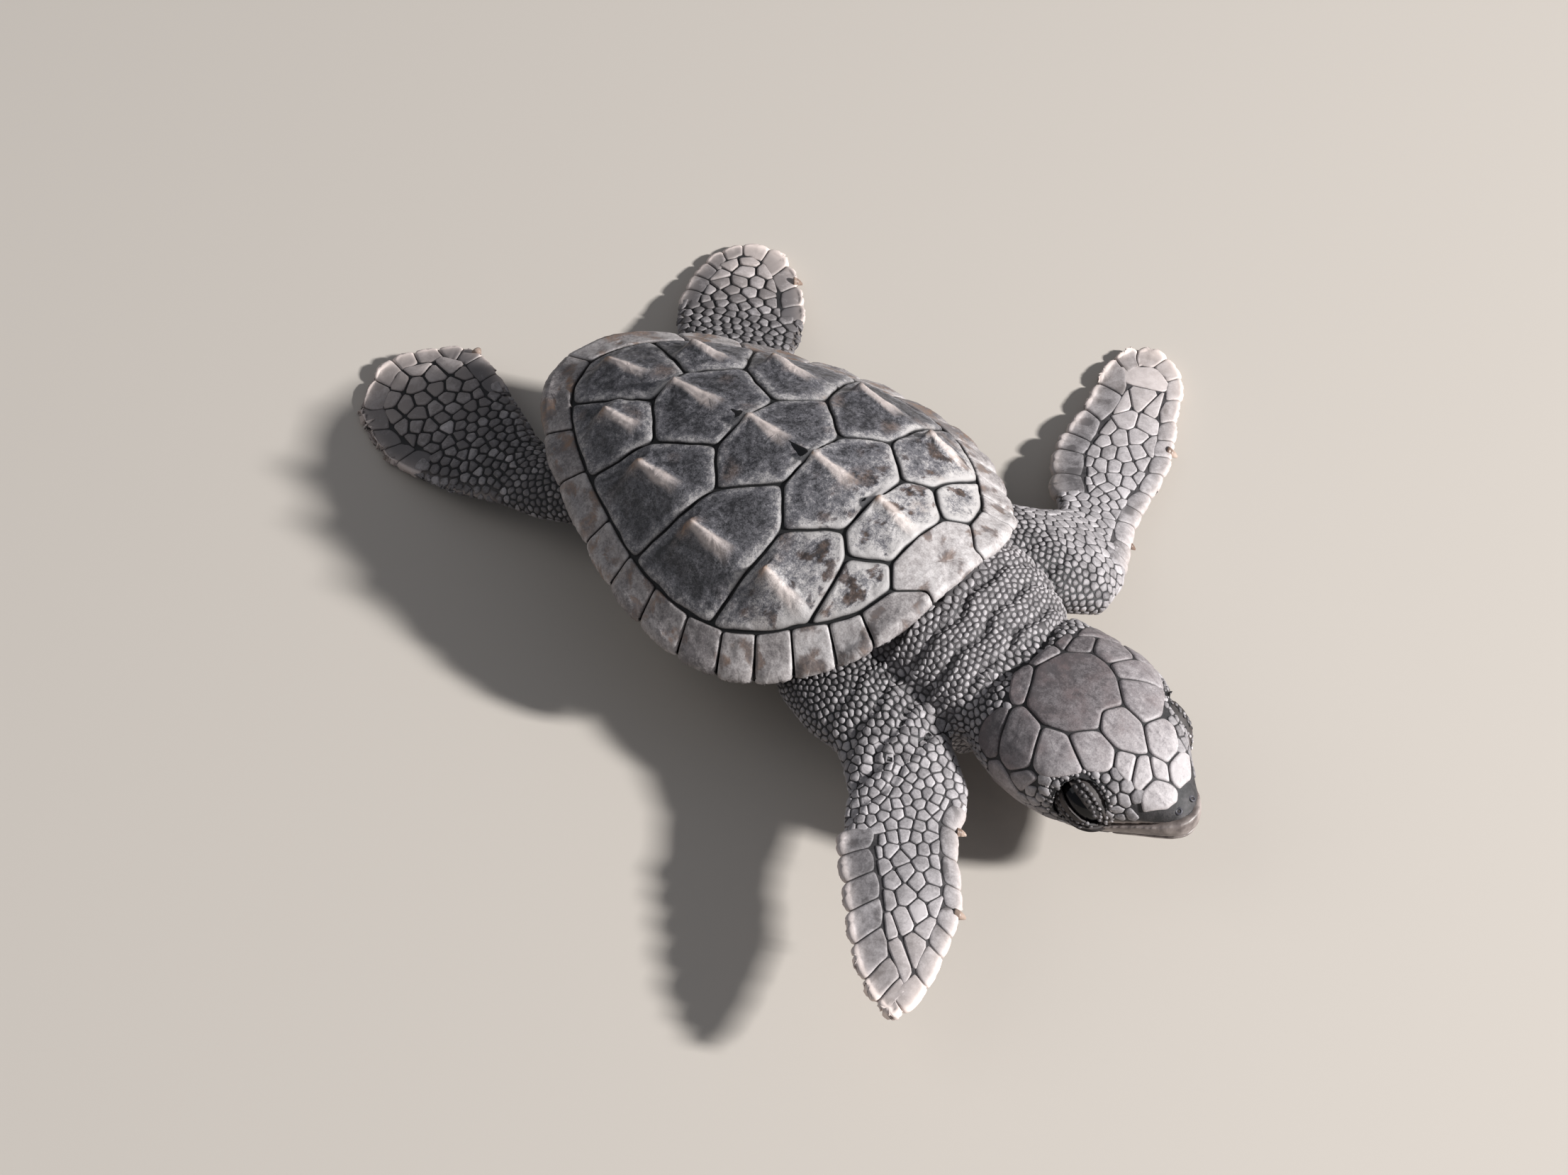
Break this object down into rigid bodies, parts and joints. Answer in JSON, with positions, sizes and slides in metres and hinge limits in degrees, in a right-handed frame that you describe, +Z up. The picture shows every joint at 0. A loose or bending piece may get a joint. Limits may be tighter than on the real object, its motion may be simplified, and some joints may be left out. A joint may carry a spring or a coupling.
{
  "type": "loggerhead turtle hatchling model",
  "caption": "Life-size still model of a loggerhead turtle hatchling lying on its belly, flippers spread and head raised, for display on a flat surface.",
  "frame": {"origin": "on the floor, under the middle of the whole turtle's bounding box", "axes": "+X towards the snout, +Y towards the turtle's left, +Z up"},
  "size_m": [0.0926, 0.0772, 0.0199],
  "materials": {
    "skin": "matte, scaly",
    "shell": "matte horn",
    "plastron": "matte horn",
    "beak": "satin horn",
    "claw": "satin horn",
    "eye": "glossy"
  },
  "bodies": {
    "root": {"carapace": "shell", "plastron": "plastron", "trunk": "skin", "neck": "skin", "head": "skin", "lower_jaw": "skin", "beak_upper": "beak", "beak_lower": "beak", "eye_left": "eye", "eye_right": "eye", "tail": "skin", "arm_front_right": "skin", "flipper_front_right": "skin", "arm_front_left": "skin", "flipper_front_left": "skin", "leg_rear_right": "skin", "flipper_rear_right": "skin", "leg_rear_left": "skin", "flipper_rear_left": "skin", "claw_front_right_1": "claw", "claw_front_right_2": "claw", "claw_front_left_1": "claw", "claw_front_left_2": "claw", "claw_rear_right_1": "claw", "claw_rear_left_1": "claw"}
  },
  "joints": []
}
